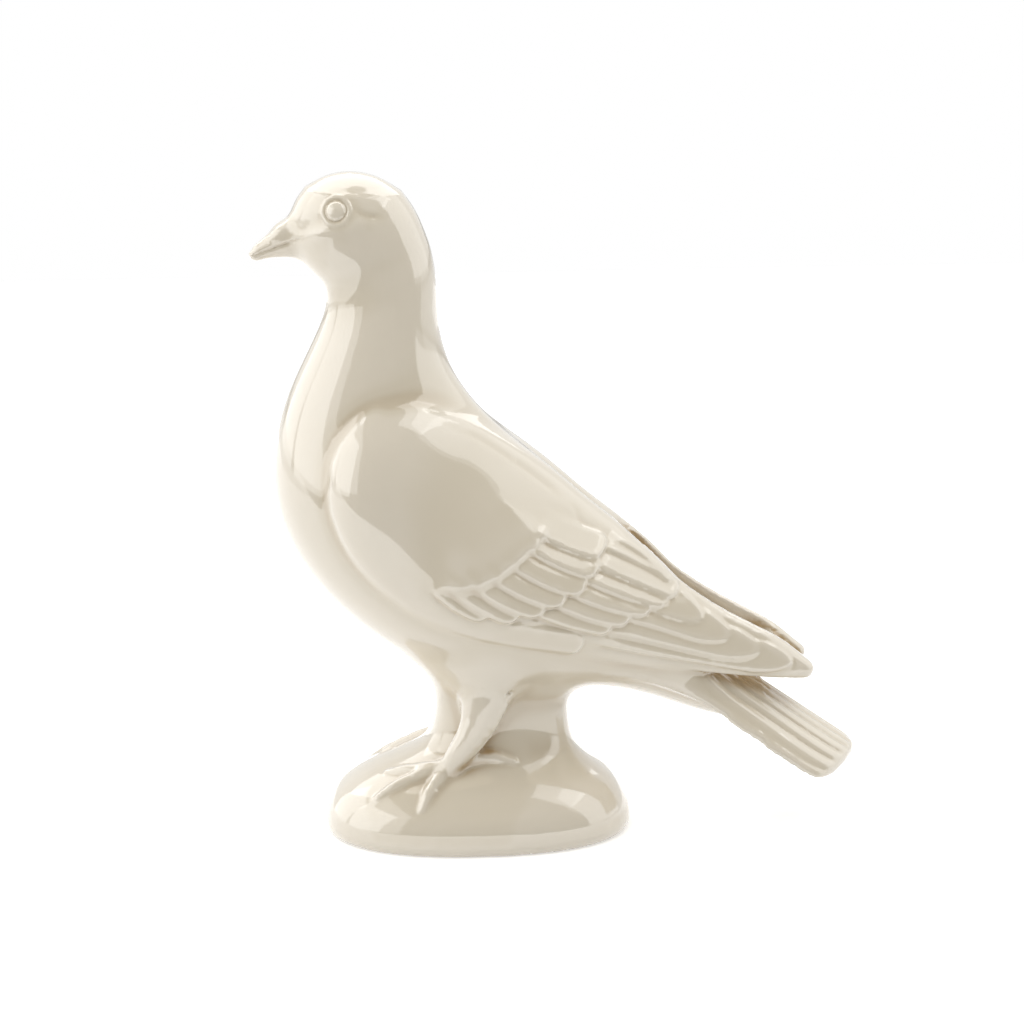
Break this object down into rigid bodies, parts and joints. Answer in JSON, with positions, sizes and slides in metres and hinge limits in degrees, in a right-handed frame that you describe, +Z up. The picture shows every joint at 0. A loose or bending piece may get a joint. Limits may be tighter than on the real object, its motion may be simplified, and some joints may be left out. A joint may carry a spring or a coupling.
{
  "type": "dove figurine",
  "caption": "A cream glazed ceramic dove that stands on an oval mound, with carved wing feathers, a fluted tail and a thick stem under the belly.",
  "frame": {"origin": "middle of the flat underside of the mound", "axes": "+Z up, the bird faces -X, its left side is -Y"},
  "size_m": [0.1941, 0.0746, 0.2161],
  "materials": {
    "glaze": "glossy cream glaze"
  },
  "bodies": {
    "root": {"dove": "glaze"}
  },
  "joints": []
}
